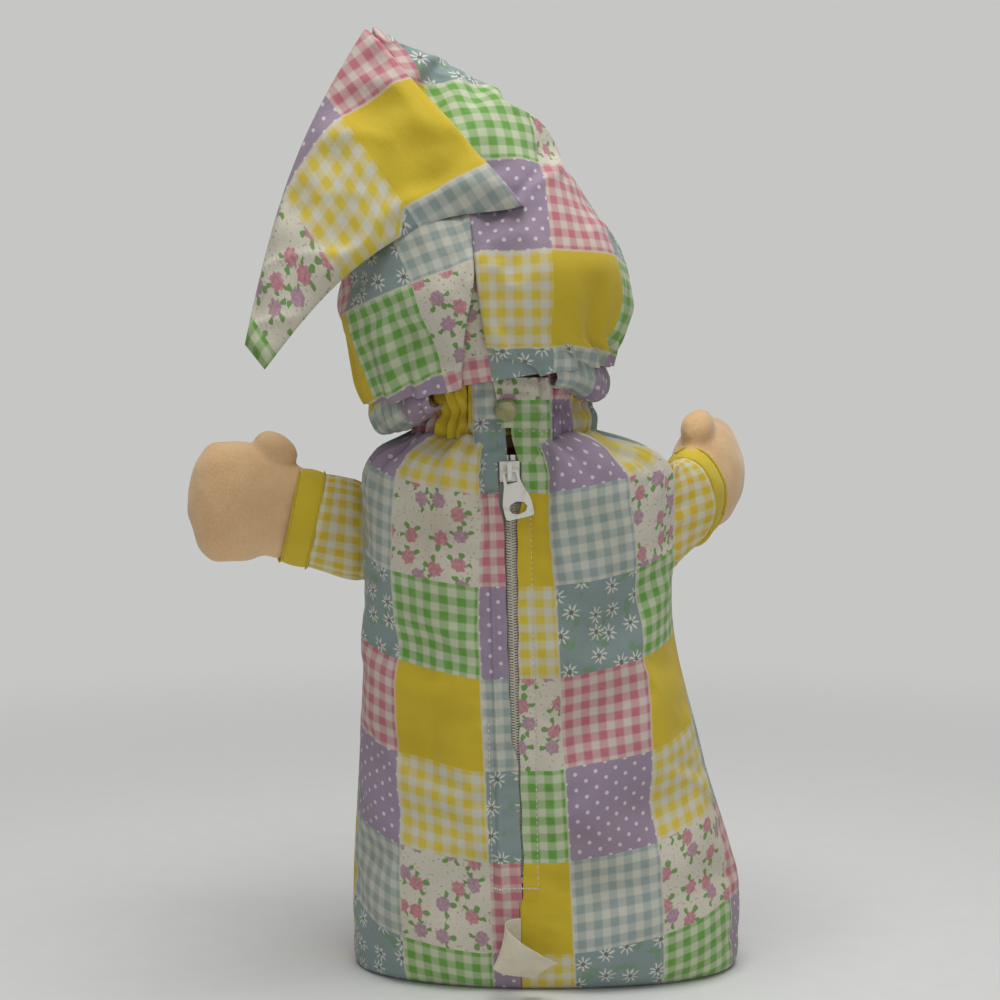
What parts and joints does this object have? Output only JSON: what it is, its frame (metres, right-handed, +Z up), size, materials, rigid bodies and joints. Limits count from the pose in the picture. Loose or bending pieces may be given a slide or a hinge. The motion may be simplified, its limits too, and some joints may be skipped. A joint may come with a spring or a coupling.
{
  "type": "plush baby doll",
  "caption": "Soft baby doll in a zipped patchwork sack with a hooded, tailed cap, mitten hands on arms that swing at the side seams and a head that turns and nods on a stuffed neck.",
  "frame": {"origin": "middle of the flat base that the sack stands on, about under the neck's line", "axes": "+Z up the doll, -Y towards the zipped back, +Y towards the face, +X to the doll's right"},
  "size_m": [0.2804, 0.1456, 0.4589],
  "materials": {
    "patchwork": "printed cotton patchwork",
    "yellow_gingham": "woven cotton check",
    "yellow_cotton": "plain cotton",
    "fleece": "brushed fleece",
    "wadding": "polyester fibre filling",
    "red_lining": "plain cotton over fibre filling",
    "zip_tape": "woven tape",
    "zip_coil": "nylon coil",
    "enamel": "white enamel",
    "snap_metal": "dull brass",
    "stitching": "cotton thread",
    "elastic": "woven elastic",
    "face_thread": "embroidery thread",
    "label_cloth": "woven ribbon"
  },
  "bodies": {
    "sack": {"torso_filling": "red_lining", "sack_front": "patchwork", "sack_back_left": "patchwork", "sack_back_right": "patchwork", "sack_base": "patchwork", "zip_tape_left": "zip_tape", "zip_tape_right": "zip_tape", "zip_coil_left": "zip_coil", "zip_coil_right": "zip_coil", "zip_top_stop_left": "enamel", "zip_top_stop_right": "enamel", "zip_bottom_stop": "enamel", "bar_tack": "stitching", "placket_left": "patchwork", "placket_right": "patchwork", "snap_stud": "snap_metal", "neck_elastic": "elastic", "collar_gathers_left": "patchwork", "collar_gathers_right": "patchwork"},
    "neck": {"neck_stem": "fleece"},
    "head": {"head_cover": "fleece", "head_filling": "wadding", "eye_left": "face_thread", "eye_right": "face_thread", "nose": "fleece", "mouth": "face_thread", "hood_left": "patchwork", "hood_right": "patchwork", "hood_hem_left": "patchwork", "hood_hem_right": "patchwork", "hood_band": "patchwork", "cap_cone": "patchwork"},
    "tail": {"cap_tail": "patchwork"},
    "left_arm": {"sleeve_left": "yellow_gingham", "arm_filling_left": "wadding", "cuff_left": "yellow_cotton"},
    "right_arm": {"sleeve_right": "yellow_gingham", "arm_filling_right": "wadding", "cuff_right": "yellow_cotton"},
    "left_hand": {"hand_cover_left": "fleece", "hand_filling_left": "wadding"},
    "right_hand": {"hand_cover_right": "fleece", "hand_filling_right": "wadding"},
    "slider": {"zip_slider": "enamel"},
    "pull": {"zip_pull": "enamel"},
    "tab": {"neck_tab": "patchwork", "snap_cap": "snap_metal"},
    "label": {"care_label": "label_cloth"}
  },
  "joints": [
    {"name": "neck_turn", "type": "hinge", "parent": "sack", "child": "neck", "pos_m": [-0.012, 0, 0.272], "axis": [0, 0, 1], "range_deg": [-30, 30], "stiffness_Nm_per_rad": 0.5, "deforming": ["collar_gathers_left", "collar_gathers_right", "hood_hem_left", "hood_hem_right"]},
    {"name": "head_nod", "type": "hinge", "parent": "neck", "child": "head", "pos_m": [-0.012, 0, 0.272], "axis": [-1, 0, 0], "range_deg": [-6, 14], "stiffness_Nm_per_rad": 1, "deforming": ["collar_gathers_left", "collar_gathers_right", "hood_hem_left", "hood_hem_right"]},
    {"name": "cap_tail_lift", "type": "hinge", "parent": "head", "child": "tail", "pos_m": [-0.07791, -0.011, 0.45798], "axis": [-0.6083, 0.3468, 0.714], "range_deg": [0, 110]},
    {"name": "left_arm_swing", "type": "hinge", "parent": "sack", "child": "left_arm", "pos_m": [-0.081, 0, 0.215], "axis": [0, 0, -1], "range_deg": [-17, 78], "stiffness_Nm_per_rad": 0.1},
    {"name": "right_arm_swing", "type": "hinge", "parent": "sack", "child": "right_arm", "pos_m": [0.071, 0, 0.221], "axis": [0, 0, 1], "range_deg": [-93, 2], "stiffness_Nm_per_rad": 0.1},
    {"name": "left_wrist_bend", "type": "hinge", "parent": "left_arm", "child": "left_hand", "pos_m": [-0.11863, -0.00529, 0.22808], "axis": [0, 0, -1], "range_deg": [-16, 16], "stiffness_Nm_per_rad": 0.05},
    {"name": "right_wrist_bend", "type": "hinge", "parent": "right_arm", "child": "right_hand", "pos_m": [0.08524, 0.03523, 0.23713], "axis": [0, 0, 1], "range_deg": [-16, 16], "stiffness_Nm_per_rad": 0.05},
    {"name": "zip_slide", "type": "slide", "parent": "sack", "child": "slider", "axis": [0.0234, -0.056, -0.9982], "range_m": [0, 0.182]},
    {"name": "zip_pull_swing", "type": "hinge", "parent": "slider", "child": "pull", "pos_m": [-0.00949, -0.04316, 0.24754], "axis": [-0.973, -0.0129, -0.2304], "range_deg": [0, 150]},
    {"name": "neck_tab_open", "type": "hinge", "parent": "sack", "child": "tab", "pos_m": [0.004, -0.04138, 0.2763], "axis": [0, 0, 1], "range_deg": [0, 110], "stiffness_Nm_per_rad": 0.002},
    {"name": "label_lift", "type": "hinge", "parent": "sack", "child": "label", "pos_m": [-0.00423, -0.05355, 0.014], "axis": [0, 0, -1], "range_deg": [0, 35], "stiffness_Nm_per_rad": 0.0005}
  ]
}
